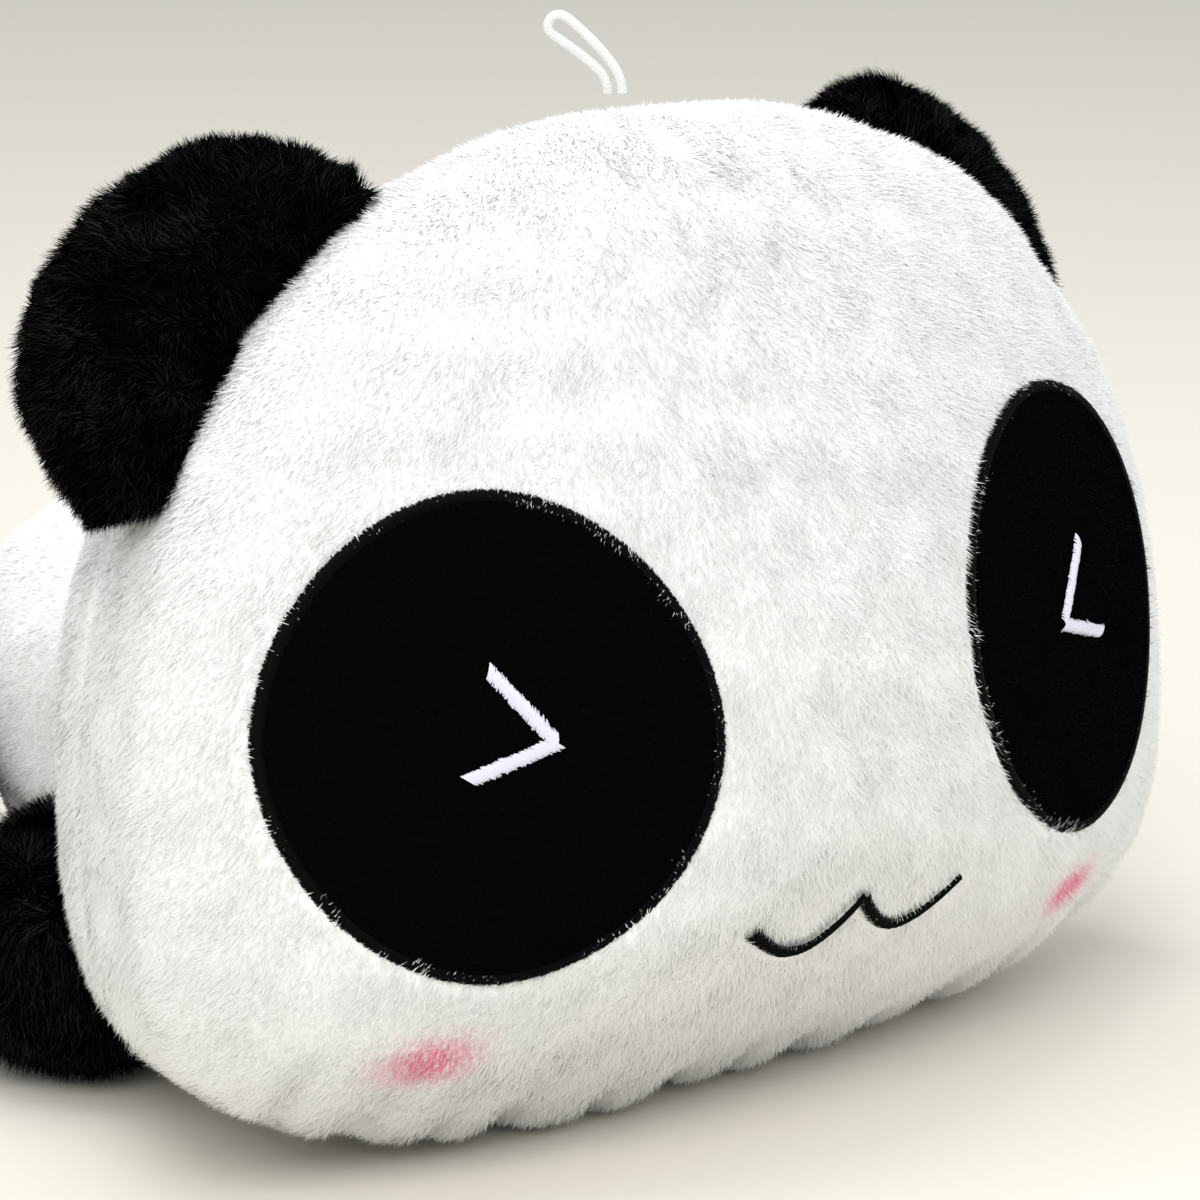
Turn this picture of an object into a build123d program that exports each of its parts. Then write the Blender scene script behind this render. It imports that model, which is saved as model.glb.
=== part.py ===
"""A plush panda that lies on its belly: a wide stuffed head, a small torso and four short limbs.

Units are millimetres. +Z is up and the panda faces -Y. The origin is on the floor, at the middle of
the flat under the belly. Every soft member is a fur-fabric skin, cut into the panels that it is sewn
from, round its own stuffing.
"""

import os
from functools import cache
from math import cos, pi, radians, sin, tan

from build123d import *

os.makedirs("parts", exist_ok=True)

# ---------------------------------------------------------------- driving dimensions
FABRIC = 8.0  # backing and pile together
SEAM_GAP = 0.5  # between a skin and its stuffing
CLEARANCE = 1.5  # between members that move on each other
LAYERS = (0.0, -FABRIC, -FABRIC - SEAM_GAP)  # a skin's outside and inside, and its stuffing
WORKROOM = (1200.0, 1200.0, 600.0)  # larger than the whole panda

HEAD_CENTRE = (0.0, -220.0, 117.0)
HEAD_LEAN = 4.5  # degrees that the face looks upwards
HEAD_SIZES = (250.0, 249.0, 120.0, 111.0, 241.0)  # half width, up, down, front, back
HEAD_FRONT_POWER = 1.5  # of the superelliptic outline; 2 would be an ellipse
HEAD_BACK_POWER = 1.7
QUARTER_STEPS = 7  # spline points along a quarter of the outline
NECK_DEPTH = 180.0  # behind the head's centre, where the neck flattens it
HEAD_SEAM_DEPTH = 50.0  # behind the head's centre

EYE_PLACE = (139.5, 43.0)
EYE_RADII = (78.5, 86.0)
EYE_TURN = 5.0
EYE_EDGE = 4.5  # width of the satin-stitched border
FACE_GAP = 0.1  # between the face and what is sewn on it
PATCH_TOP = 1.5  # above the face
THREAD_TOP = 2.6  # of the satin stitches on and round a patch
CHEVRON_STROKE = 4.5
CHEVRON_TIP = (120.0, 47.0)
CHEVRON_REACH = (28.0, 18.0)  # outwards, and up or down, from the tip to each end
MOUTH_STROKE = 3.0
MOUTH_HALF_WIDTH = 51.0
MOUTH_PEAK = -35.0
MOUTH_LOW = (28.0, -53.5)
MOUTH_END = -38.0

EAR_RADIUS = 90.0
EAR_HALF_THICK = 24.0
EAR_ROUNDING = 22.0
EAR_CENTRE = (161.0, 25.0, 159.0)  # from the head's centre
EAR_TILT = 54.0  # degrees from level to the ear's middle line
EAR_LEAN = 24.0  # degrees that the ear leans back
EAR_HINGE_OUT = 16.0  # from the ear's centre to the line that it bends on
EAR_ROOT_REACH = 110.0  # either way along the head and inwards, past the ear's rim
EAR_ROOT = (  # along and outwards
    (-EAR_ROOT_REACH, -16.0),
    (-50.0, 12.5),
    (0.0, 26.0),
    (50.0, 28.5),
    (EAR_ROOT_REACH, 19.0),
)
EAR_ROOT_SLOPE = 15.0  # degrees that the root rises to the back, as the head does there

TORSO_WIDTH = 240.0
TORSO_BACK = 168.0  # from the origin to the rump
TORSO_HEIGHT = 186.0
TORSO_ROUNDING = 80.0
TORSO_SEAM_HEIGHT = 55.0

LIMB_LENGTH = 168.0
LIMB_WIDTH = 120.0
LIMB_HEIGHT = 95.0
LIMB_ROUNDING = 42.0
ARM_PLACE = (150.0, -58.0)
ARM_SPLAY = 52.0  # degrees outwards from the way the panda faces
ARM_HINGE_DEPTH = 42.0
HEAD_OVERHANG = (40.0, -40.0, 15.8)  # the way that the head's underside faces over an arm, and how far out
LEG_PLACE = (142.0, 109.0)
LEG_SPLAY = 113.0

LOOP_CORD = 3.6  # diameter of the braided cord
LOOP_FOOT_HEIGHT = 247.0  # above the head's centre
LOOP_FOOT_DEPTH = 18.0  # behind the head's centre
LOOP_TURN = 40.0  # degrees from square across the head
LOOP_TACK = (11.0, 6.0, 9.0)
LOOP_BEND_SHARE = 0.45  # of the shorter leg at each corner, that its bend takes up
LOOP_ROUTE = (  # across and up
    (2.6, 3.0),
    (2.6, 8.5),
    (-4.6, 18.6),
    (-14.2, 28.0),
    (-19.6, 32.2),
    (-24.0, 30.4),
    (-24.6, 25.6),
    (-18.8, 21.8),
    (-8.8, 14.4),
    (-2.6, 8.0),
    (-2.6, 3.0),
)


# ---------------------------------------------------------------- soft forms
def quarter_curve(radius, depth, power):
    """Points of a superelliptic quarter, from the rim to the pole."""
    turns = [radians(90.0 * step / QUARTER_STEPS) for step in range(QUARTER_STEPS)]
    rim_to_pole = [(radius * cos(turn) ** (2 / power), depth * sin(turn) ** (2 / power)) for turn in turns]
    return rim_to_pole + [(0.0, depth)]


def turned_form(sizes, height, powers, back_cut, turn):
    """A profile turned about its own Z axis, which points forwards, and flattened to its height."""
    width, _, _, front, back = sizes
    front_curve = quarter_curve(width, front, powers[0])
    back_curve = [(across, -depth) for across, depth in quarter_curve(width, back, powers[1])]
    with BuildPart() as turned:
        with BuildSketch(Plane.XZ):
            with BuildLine():
                Spline(*front_curve)
                Spline(*back_curve)
                Line(front_curve[-1], back_curve[-1])
            make_face()
        revolve(axis=Axis.Z, revolution_arc=turn)
        scale(by=(1.0, height / width, 1.0))
        split(bisect_by=Plane.XY.offset(-back_cut), keep=Keep.TOP)
    return turned.part


def pillow(place, length, width, height, rounding, grow=0.0):
    """A stuffed pillow that stands on a level plane, grown or shrunk all round."""
    with BuildPart() as form:
        with BuildSketch(place.offset(-grow)):
            SlotOverall(length + 2 * grow, width + 2 * grow)
        extrude(amount=height + 2 * grow)
        level_faces = form.faces().filter_by(Axis.Z)
        fillet(level_faces.edges(), radius=rounding + grow)
    return form.part


def beyond(form, planes):
    """The part of a form that is in front of every one of the planes."""
    with BuildPart() as kept:
        add(form)
        for plane in planes:
            split(bisect_by=plane, keep=Keep.TOP)
    return kept.part


def keep_piece(name, piece):
    """Labels a finished piece and writes its file."""
    piece.label = name
    export_step(piece, f"parts/{name}.step")
    print(name, round(piece.volume), "mm3")


def member_pieces(forms, seam, panels):
    """A member's pieces by name: its skin in two panels, split at a seam plane, and its stuffing."""
    outer, inner, stuffing = forms
    pieces = {}
    for panel, side in zip(panels, (Keep.TOP, Keep.BOTTOM)):
        with BuildPart() as skin:
            add(outer)
            add(inner, mode=Mode.SUBTRACT)
            split(bisect_by=seam, keep=side)
        pieces[panel] = skin.part
    pieces["stuffing"] = stuffing
    return pieces


def tell_hinge(member, place, way):
    """Prints where a member bends, in the part's frame, and the direction of the line that it bends on."""
    print(member, "bends at", tuple(round(value, 2) for value in place), "about", tuple(round(value, 4) for value in way))


def keep_pair(name, pieces):
    """Writes a member on the panda's left, and its mirror image on the right."""
    for piece_name, piece in pieces.items():
        keep_piece(f"{name}_left_{piece_name}", piece)
        keep_piece(f"{name}_right_{piece_name}", mirror(piece, about=Plane.YZ))


# ---------------------------------------------------------------- head
lean = radians(HEAD_LEAN)
head_place = Plane(HEAD_CENTRE, x_dir=(1, 0, 0), z_dir=(0, -cos(lean), sin(lean)))
head_powers = (HEAD_FRONT_POWER, HEAD_BACK_POWER)


@cache
def head_form(grow):
    """The head's closed form, grown or shrunk all round, with a flat where it rests on the floor.

    A grown form's flat sinks by the growth, and a shrunk form's flat rises by it.
    """
    sizes = [size + grow for size in HEAD_SIZES]
    with BuildPart() as form:
        for height, turn in ((sizes[1], 180), (sizes[2], -180)):
            add(head_place.location * turned_form(sizes, height, head_powers, NECK_DEPTH + grow, turn))
        with Locations((0.0, 0.0, -grow)):
            Box(*WORKROOM, align=(Align.CENTER, Align.CENTER, Align.MIN), mode=Mode.INTERSECT)
    return form.part


head_forms = [head_form(grow) for grow in LAYERS]
head_seam = head_place.offset(-HEAD_SEAM_DEPTH)
for piece_name, piece in member_pieces(head_forms, head_seam, ("face_panel", "back_panel")).items():
    keep_piece(f"head_{piece_name}", piece)


def on_face(outline, low, high):
    """A thin layer that lies on the face: an outline, between two growths of the head's form."""
    with BuildPart() as layer:
        extrude(outline, amount=HEAD_SIZES[3] + FABRIC, dir=head_place.z_dir)
        add(head_form(high), mode=Mode.INTERSECT)
        add(head_form(low), mode=Mode.SUBTRACT)
    return layer.part


for side_name, side in (("left", 1), ("right", -1)):
    eye_location = Location((side * EYE_PLACE[0], EYE_PLACE[1]), side * EYE_TURN)
    patch_radii = [radius - EYE_EDGE for radius in EYE_RADII]
    with BuildSketch(head_place) as patch_outline:
        with Locations(eye_location):
            Ellipse(*patch_radii)
    keep_piece(f"eye_patch_{side_name}", on_face(patch_outline.sketch, FACE_GAP, PATCH_TOP))
    with BuildSketch(head_place) as edge_outline:
        with Locations(eye_location):
            Ellipse(*EYE_RADII)
            Ellipse(*patch_radii, mode=Mode.SUBTRACT)
    keep_piece(f"eye_edge_{side_name}", on_face(edge_outline.sketch, FACE_GAP, THREAD_TOP))
    chevron_ends = [
        (side * (CHEVRON_TIP[0] + CHEVRON_REACH[0]), CHEVRON_TIP[1] + rise * CHEVRON_REACH[1]) for rise in (1, -1)
    ]
    with BuildSketch(head_place) as chevron_outline:
        with BuildLine():
            Polyline(chevron_ends[0], (side * CHEVRON_TIP[0], CHEVRON_TIP[1]), chevron_ends[1])
        trace(line_width=CHEVRON_STROKE)
    keep_piece(f"eye_chevron_{side_name}", on_face(chevron_outline.sketch, PATCH_TOP + FACE_GAP, THREAD_TOP))

with BuildSketch(head_place) as mouth_outline:
    with BuildLine():
        for side in (1, -1):
            Spline((0, MOUTH_PEAK), (side * MOUTH_LOW[0], MOUTH_LOW[1]), (side * MOUTH_HALF_WIDTH, MOUTH_END))
    trace(line_width=MOUTH_STROKE)
keep_piece("mouth_embroidery", on_face(mouth_outline.sketch, FACE_GAP, CLEARANCE))

# ---------------------------------------------------------------- ears
tilt = radians(EAR_TILT)
ear_lean = radians(EAR_LEAN)
ear_along = Vector(-sin(tilt), 0, cos(tilt))
ear_out = Vector(cos(tilt) * cos(ear_lean), sin(ear_lean), sin(tilt) * cos(ear_lean))
ear_place = Plane(Vector(*HEAD_CENTRE) + Vector(*EAR_CENTRE), x_dir=ear_along, z_dir=ear_along.cross(ear_out))
root_way = ear_place.z_dir * cos(radians(EAR_ROOT_SLOPE)) + ear_out * sin(radians(EAR_ROOT_SLOPE))
tell_hinge("ear_left", ear_place.origin + ear_out * EAR_HINGE_OUT, ear_along)


def ear_form(grow):
    """An ear that ends in facets along the head, clear of it as the ear bends either way."""
    with BuildSketch(ear_place) as root:
        with BuildLine():
            Polyline(*EAR_ROOT, (EAR_ROOT_REACH, -EAR_ROOT_REACH), (-EAR_ROOT_REACH, -EAR_ROOT_REACH), close=True)
        make_face()
    with BuildPart() as ear:
        with BuildSketch(ear_place):
            Circle(EAR_RADIUS + grow)
        extrude(amount=EAR_HALF_THICK + grow, both=True)
        fillet(ear.edges().filter_by(GeomType.CIRCLE), radius=EAR_ROUNDING + grow)
        extrude(root.sketch, amount=EAR_RADIUS, dir=root_way, both=True, mode=Mode.SUBTRACT)
    return ear.part


ear_forms = [ear_form(grow) for grow in LAYERS]
keep_pair("ear", member_pieces(ear_forms, ear_place, ("back_panel", "front_panel")))

# ---------------------------------------------------------------- torso
neck = head_place.offset(-NECK_DEPTH - CLEARANCE)
behind_neck = Plane(neck.origin, z_dir=-neck.z_dir)
torso_size = (2 * TORSO_BACK, TORSO_WIDTH, TORSO_HEIGHT, TORSO_ROUNDING)
torso_place = Plane((0, 0, 0), x_dir=(0, 1, 0))
torso_forms = [beyond(pillow(torso_place, *torso_size, grow), [behind_neck]) for grow in LAYERS]
torso_seam = Plane.XY.offset(TORSO_SEAM_HEIGHT)
for piece_name, piece in member_pieces(torso_forms, torso_seam, ("back_panel", "belly_panel")).items():
    keep_piece(f"torso_{piece_name}", piece)


# ---------------------------------------------------------------- arms and legs
def level_way(splay):
    """The level direction of a left limb, turned outwards from the way that the panda faces."""
    return Vector(sin(radians(splay)), -cos(radians(splay)), 0)


def limb_pieces(spot, way, planes):
    """A left limb's pieces: a pillow that points along its way, cut at its root."""
    place = Plane((*spot, 0), x_dir=way)
    size = (LIMB_LENGTH, LIMB_WIDTH, LIMB_HEIGHT, LIMB_ROUNDING)
    forms = [beyond(pillow(place, *size, grow), planes) for grow in LAYERS]
    return member_pieces(forms, Plane.XY.offset(LIMB_HEIGHT / 2), ("top_panel", "under_panel"))


arm_way = level_way(ARM_SPLAY)
arm_root = Plane((TORSO_WIDTH / 2 + CLEARANCE, 0, 0), z_dir=(1, 0, 0))
turn, dip, overhang_reach = HEAD_OVERHANG
overhang_way = Vector(
    cos(radians(dip)) * cos(radians(turn)),
    cos(radians(dip)) * sin(radians(turn)),
    sin(radians(dip)),
)
overhang = Plane(overhang_way * overhang_reach, z_dir=overhang_way)
keep_pair("arm", limb_pieces(ARM_PLACE, arm_way, [arm_root, overhang]))
tell_hinge("arm_left", Vector(arm_root.origin.X, ARM_HINGE_DEPTH, 0), Vector(0, 0, 1))

leg_way = level_way(LEG_SPLAY)
rump_centre = Vector(0, TORSO_BACK - TORSO_WIDTH / 2, 0)
leg_root = Plane(rump_centre + leg_way * (TORSO_WIDTH / 2 + CLEARANCE), z_dir=leg_way)
keep_pair("leg", limb_pieces(LEG_PLACE, leg_way, [leg_root]))
tell_hinge("leg_left", leg_root.origin + Vector(0, 0, LIMB_HEIGHT), Vector(leg_way.Y, -leg_way.X, 0))

# ---------------------------------------------------------------- hanging loop
loop_foot = head_place.from_local_coords(Vector(0, LOOP_FOOT_HEIGHT, -LOOP_FOOT_DEPTH))
loop_turn = radians(LOOP_TURN)
loop_place = Plane(loop_foot, x_dir=(cos(loop_turn), -sin(loop_turn), 0), z_dir=(-sin(loop_turn), -cos(loop_turn), 0))
loop_points = [loop_place.from_local_coords(Vector(across, up, 0)) for across, up in LOOP_ROUTE]
loop_radii = []
for before, corner, after in zip(loop_points, loop_points[1:], loop_points[2:]):
    turn = radians((corner - before).get_angle(after - corner))
    loop_radii.append(LOOP_BEND_SHARE * min((corner - before).length, (after - corner).length) / tan(turn / 2))

with BuildPart() as hang_loop:
    with BuildLine() as loop_path:
        FilletPolyline(*loop_points, radius=loop_radii)
    with BuildSketch(Plane(loop_path.line @ 0, z_dir=loop_path.line % 0)):
        Circle(LOOP_CORD / 2)
    sweep()
loop_length = loop_path.wire().length
print("loop length", round(loop_length, 2), "mm, times its section", round(loop_length * pi * LOOP_CORD**2 / 4), "mm3")
keep_piece("hang_loop", hang_loop.part)

with BuildPart() as loop_tack:
    with BuildSketch(Plane(loop_place.from_local_coords((0, LOOP_ROUTE[0][1], 0)), x_dir=loop_place.x_dir)):
        Rectangle(LOOP_TACK[0], LOOP_TACK[1])
    extrude(amount=-LOOP_TACK[2])
    add(head_form(FACE_GAP), mode=Mode.SUBTRACT)
keep_piece("loop_tack", loop_tack.part)
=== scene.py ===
"""A plush panda that lies on its belly, its wide round head resting on the floor.

Each stuffed member is a skin of plush backing with its pile standing on it as
fine leaning fibres. The frame is the part's own: metres, +Z up, the panda
facing -Y.
"""

import logging
import math
from dataclasses import dataclass, field
from enum import Enum
from typing import Callable, Optional, Sequence

import bpy
import numpy as np
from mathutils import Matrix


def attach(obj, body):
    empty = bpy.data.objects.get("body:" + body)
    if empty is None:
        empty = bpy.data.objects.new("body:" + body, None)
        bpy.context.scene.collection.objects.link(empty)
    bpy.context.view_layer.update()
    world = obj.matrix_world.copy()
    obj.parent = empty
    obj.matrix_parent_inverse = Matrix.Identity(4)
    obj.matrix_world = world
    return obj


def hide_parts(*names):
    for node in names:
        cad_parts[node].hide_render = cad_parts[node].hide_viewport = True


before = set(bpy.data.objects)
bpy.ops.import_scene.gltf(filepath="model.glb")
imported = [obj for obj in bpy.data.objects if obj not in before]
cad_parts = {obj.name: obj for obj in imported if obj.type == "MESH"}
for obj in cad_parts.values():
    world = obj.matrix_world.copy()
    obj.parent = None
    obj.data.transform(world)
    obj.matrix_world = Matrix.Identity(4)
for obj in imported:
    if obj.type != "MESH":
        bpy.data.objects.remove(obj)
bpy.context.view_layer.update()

Array = np.ndarray
LOG = logging.getLogger("panda")
MM = 0.001
THREAD_PITCH = 0.42 * MM
CLOTH_FRAMES = 20


# ------------------------------------------------------------------ finishes
class Value:
    """A shader socket that carries a number, with the maths operators on it."""

    def __init__(self, recipe: "Recipe", socket: object) -> None:
        """Keeps the recipe that adds nodes and the socket or number."""
        self.recipe = recipe
        self.socket = socket

    def _maths(self, operation: str, first: object, second: object) -> "Value":
        """Adds one Math node.

        Args:
            operation: the Math node's operation.
            first: a Value or a number.
            second: a Value or a number.

        Returns:
            The node's result.
        """
        sockets = {0: getattr(first, "socket", first), 1: getattr(second, "socket", second)}
        node = self.recipe.add("ShaderNodeMath", {"operation": operation}, sockets)
        return Value(self.recipe, node.outputs[0])

    def __add__(self, other: object) -> "Value":
        """The sum."""
        return self._maths("ADD", self, other)

    def __mul__(self, other: object) -> "Value":
        """The product."""
        return self._maths("MULTIPLY", self, other)

    __rmul__ = __mul__


class Recipe:
    """The node tree of one finish."""

    def __init__(self, name: str) -> None:
        """Makes an empty material with a shader and an output."""
        self.material = bpy.data.materials.new(name)
        self.material.use_nodes = True
        self.tree = self.material.node_tree
        self.tree.nodes.clear()
        self.shader = self.add("ShaderNodeBsdfPrincipled")
        self.add("ShaderNodeOutputMaterial", sockets={"Surface": self.shader.outputs["BSDF"]})

    def add(
        self, kind: str, settings: Optional[dict] = None, sockets: Optional[dict] = None
    ) -> bpy.types.Node:
        """Adds any node.

        Args:
            kind: the node's type.
            settings: attributes set before anything is linked.
            sockets: input name or number to a value, or an output to link.

        Returns:
            The node.
        """
        node = self.tree.nodes.new(kind)
        for key, value in (settings or {}).items():
            setattr(node, key, value)
        for key, value in (sockets or {}).items():
            if isinstance(value, bpy.types.NodeSocket):
                self.tree.links.new(value, node.inputs[key])
            else:
                node.inputs[key].default_value = value
        return node

    def place(self) -> bpy.types.NodeSocket:
        """The point's place on the finished piece."""
        return self.add("ShaderNodeTexCoord").outputs["Object"]

    def noise(self, scale: float, detail: float = 2.0) -> Value:
        """Noise of about this many bumps to the metre.

        Args:
            scale: bumps to the metre.
            detail: octaves.

        Returns:
            The noise, from 0 to 1.
        """
        sockets = {"Vector": self.place(), "Scale": scale, "Detail": detail}
        node = self.add("ShaderNodeTexNoise", sockets=sockets)
        return Value(self, node.outputs["Fac"])

    def bump(self, height: Value, depth: float, strength: float) -> None:
        """Feeds a bump to the shader's normal.

        Args:
            height: the relief, from 0 to 1.
            depth: its depth in metres.
            strength: the share of it that shows.
        """
        sockets = {"Height": height.socket, "Distance": depth, "Strength": strength}
        node = self.add("ShaderNodeBump", sockets=sockets)
        self.tree.links.new(node.outputs["Normal"], self.shader.inputs["Normal"])

    def mix(self, share: Value, low: Sequence[float], high: Sequence[float]) -> None:
        """Feeds a blend of two colours to the shader's base.

        Args:
            share: 0 for the first colour, 1 for the second.
            low: the first colour.
            high: the second colour.
        """
        sockets = {0: share.socket, 6: (*low, 1.0), 7: (*high, 1.0)}
        node = self.add("ShaderNodeMix", {"data_type": "RGBA"}, sockets)
        self.tree.links.new(node.outputs[2], self.shader.inputs["Base Color"])


@dataclass(frozen=True)
class FibreFinish:
    """One shade of a pile's fibres: the same all along the fibre."""

    name: str
    colour: tuple[float, float, float]
    roughness: float = 0.85
    gloss: float = 0.15
    sheen: float = 0.25
    sheen_tint: tuple[float, float, float] = (1.0, 1.0, 1.0)

    def material(self) -> bpy.types.Material:
        """The finish's material, made once."""
        made = bpy.data.materials.get(self.name)
        if made:
            return made
        recipe = Recipe(self.name)
        inputs = recipe.shader.inputs
        inputs["Base Color"].default_value = (*self.colour, 1.0)
        inputs["Roughness"].default_value = self.roughness
        inputs["Specular IOR Level"].default_value = self.gloss
        inputs["Sheen Weight"].default_value = self.sheen
        inputs["Sheen Roughness"].default_value = 0.5
        inputs["Sheen Tint"].default_value = (*self.sheen_tint, 1.0)
        return recipe.material


@dataclass(frozen=True)
class ClothFinish:
    """A cloth's woven, knitted or brushed ground, with a fine relief."""

    name: str
    dark: tuple[float, float, float]
    light: tuple[float, float, float]
    grain: float  # bumps to the metre
    depth: float  # metres
    roughness: float = 0.9
    gloss: float = 0.2
    sheen: float = 0.2

    def material(self) -> bpy.types.Material:
        """The finish's material, made once."""
        made = bpy.data.materials.get(self.name)
        if made:
            return made
        recipe = Recipe(self.name)
        inputs = recipe.shader.inputs
        inputs["Roughness"].default_value = self.roughness
        inputs["Specular IOR Level"].default_value = self.gloss
        inputs["Sheen Weight"].default_value = self.sheen
        fine = recipe.noise(self.grain)
        patches = recipe.noise(self.grain / 25.0)
        relief = 0.7 * fine + 0.3 * patches
        recipe.mix(relief, self.dark, self.light)
        recipe.bump(fine, self.depth, 0.8)
        return recipe.material


WHITE_GROUND = ClothFinish("white_backing", (0.9, 0.9, 0.88), (0.96, 0.96, 0.95), 900.0, 0.0006)
BLACK_GROUND = ClothFinish(
    "black_backing", (0.001, 0.001, 0.0012), (0.003, 0.003, 0.0036), 900.0, 0.0006, gloss=0.0, sheen=0.0
)
VELBOA = ClothFinish(
    "black_velboa_ground", (0.0008, 0.0008, 0.001), (0.003, 0.003, 0.0032), 1400.0, 0.0004, gloss=0.0, sheen=0.0
)
WHITE_CORD = ClothFinish(
    "white_braided_cord", (0.72, 0.74, 0.72), (0.93, 0.94, 0.92), 1300.0, 0.0007, sheen=0.3
)

WHITE_FIBRES = (
    FibreFinish("white_pile_bright", (0.96, 0.965, 0.96)),
    FibreFinish("white_pile", (0.93, 0.935, 0.925)),
    FibreFinish("white_pile_soft", (0.88, 0.88, 0.86)),
)
CHEEK_FIBRES = (
    FibreFinish("pink_pile_faint", (0.95, 0.8, 0.82)),
    FibreFinish("pink_pile_pale", (0.94, 0.64, 0.69)),
    FibreFinish("pink_pile", (0.93, 0.46, 0.54)),
    FibreFinish("pink_pile_rosy", (0.92, 0.33, 0.43)),
    FibreFinish("pink_pile_deep", (0.9, 0.23, 0.34)),
)
# black_pile is the fibres' own black. The two lighter finishes are painted sheen and painted highlight: fibres
# coloured lighter than black to stand in for the pile's highlights. Their gloss and roughness are the fibres'
# own.
BLACK_FIBRES = (
    FibreFinish("black_pile", (0.0008, 0.0008, 0.0009), 0.7, 0.0, 0.0),
    FibreFinish("black_pile_painted_sheen", (0.0015, 0.0015, 0.0018), 0.6, 0.04, 0.0),
    FibreFinish("black_pile_painted_highlight", (0.005, 0.005, 0.006), 0.55, 0.12, 0.0),
)
# velboa_pile is the patches' own black. The lighter finish is painted highlight: fibres coloured lighter than
# black to stand in for the grain's highlights, with a little gloss of their own.
VELBOA_FIBRES = (
    FibreFinish("velboa_pile", (0.0008, 0.0008, 0.0009), 0.75, 0.0, 0.0),
    FibreFinish("velboa_pile_painted_highlight", (0.006, 0.006, 0.0064), 0.6, 0.08, 0.0),
)
BLACK_THREAD = FibreFinish("black_satin_thread", (0.001, 0.001, 0.0012), 0.5, 0.05, 0.0)
LILAC_THREAD = FibreFinish("lilac_satin_thread", (0.78, 0.76, 0.88), 0.4, 0.5, 0.1)


class Slot(Enum):
    """Material slot names, handed to the pile maker, which does not use them."""

    WHITE = "white_plush"
    BLACK = "black_plush"
    VELBOA = "black_velboa"
    BLACK_THREAD = "black_thread"
    LILAC_THREAD = "lilac_thread"
    CORD = "white_cord"


# ------------------------------------------------------------------ surfaces
def unit(vectors: Array) -> Array:
    """The vectors at length 1."""
    return vectors / np.maximum(np.linalg.norm(vectors, axis=-1, keepdims=True), 1e-12)


def signed_power(base: Array, power: float) -> Array:
    """The base's size to this power, with the base's own sign."""
    return np.sign(base) * np.abs(base) ** power


def ease(value: Array, start: float, end: float) -> Array:
    """0 before start, 1 past end, and 3t^2 - 2t^3 between them."""
    share = np.clip((value - start) / (end - start), 0.0, 1.0)
    return share * share * (3.0 - 2.0 * share)


def waves(points: Array, length: float, seed: int) -> Array:
    """A soft uneven field: seven sine waves of about this length, in random directions.

    Args:
        points: where it is wanted, (N, 3).
        length: the wave's length in metres.
        seed: another field for each number.

    Returns:
        About -1 to 1 at each point.
    """
    random = np.random.default_rng(seed)
    ways = unit(random.normal(size=(7, 3))) * (2.0 * np.pi / length) * random.uniform(0.7, 1.5, (7, 1))
    turns = random.uniform(0.0, 2.0 * np.pi, 7)
    return np.sin(points @ ways.T + turns).sum(axis=1) / 2.6


@dataclass
class Skin:
    """A closed triangle surface with its normals."""

    points: Array  # (N, 3)
    triangles: Array  # (M, 3)
    normals: Array = field(init=False)

    def __post_init__(self) -> None:
        """Works out the normals."""
        self.refresh()

    def refresh(self) -> None:
        """Normals at the points: the sum of the triangles' own, each as large as its area."""
        a, b, c = (self.points[self.triangles[:, k]] for k in range(3))
        across = np.cross(b - a, c - a)
        total = np.zeros_like(self.points)
        for k in range(3):
            np.add.at(total, self.triangles[:, k], across)
        self.normals = unit(total)

    def push(self, amount: Array) -> None:
        """Moves each point along its normal by its amount in metres."""
        self.points = self.points + self.normals * amount[:, None]
        self.refresh()

    def seam(self, distance: Array, width: float, depth: float, pucker: float, seed: int) -> None:
        """Draws the skin in along a sewn line: a bell of this width and depth, deeper and shallower along it.

        Args:
            distance: from the line, in metres, at each point.
            width: of the bell, to where it has fallen by two thirds.
            depth: at the line.
            pucker: the share of the depth that comes and goes.
            seed: of the pucker.
        """
        along = 1.0 + pucker * waves(self.points, 0.022, seed)
        self.push(-depth * along * np.exp(-((distance / width) ** 2)))

    def rest(self, height: float) -> None:
        """Flattens what is lower than height: sqrt(z^2 + soft^2) eases the skin on to that level."""
        z = self.points[:, 2] - height
        soft = 0.004
        eased = 0.5 * (z + np.sqrt(z * z + soft * soft))
        self.points[:, 2] = height + eased - 0.5 * soft * np.exp(-np.abs(z) / 0.01)
        self.points[:, 2] = np.maximum(self.points[:, 2], height)
        self.refresh()


def write_mesh(name: str, points: Array, corners: Array, sides: int) -> bpy.types.Mesh:
    """A smooth-shaded mesh of faces that all have the same number of sides.

    Args:
        name: the mesh's name.
        points: (N, 3).
        corners: (M, sides) indices.
        sides: 3 or 4.

    Returns:
        The mesh.
    """
    mesh = bpy.data.meshes.new(name)
    mesh.vertices.add(len(points))
    mesh.vertices.foreach_set("co", np.ascontiguousarray(points, dtype=np.float32).ravel())
    mesh.loops.add(corners.size)
    mesh.loops.foreach_set("vertex_index", np.ascontiguousarray(corners, dtype=np.int32).ravel())
    mesh.polygons.add(len(corners))
    mesh.polygons.foreach_set("loop_start", np.arange(len(corners), dtype=np.int32) * sides)
    mesh.polygons.foreach_set("use_smooth", np.ones(len(mesh.polygons), dtype=bool))
    mesh.update(calc_edges=True)
    return mesh


def put(name: str, data: Optional[bpy.types.ID]) -> bpy.types.Object:
    """Makes an object of this data and links it to the scene."""
    made = bpy.data.objects.new(name, data)
    bpy.context.scene.collection.objects.link(made)
    return made


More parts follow.
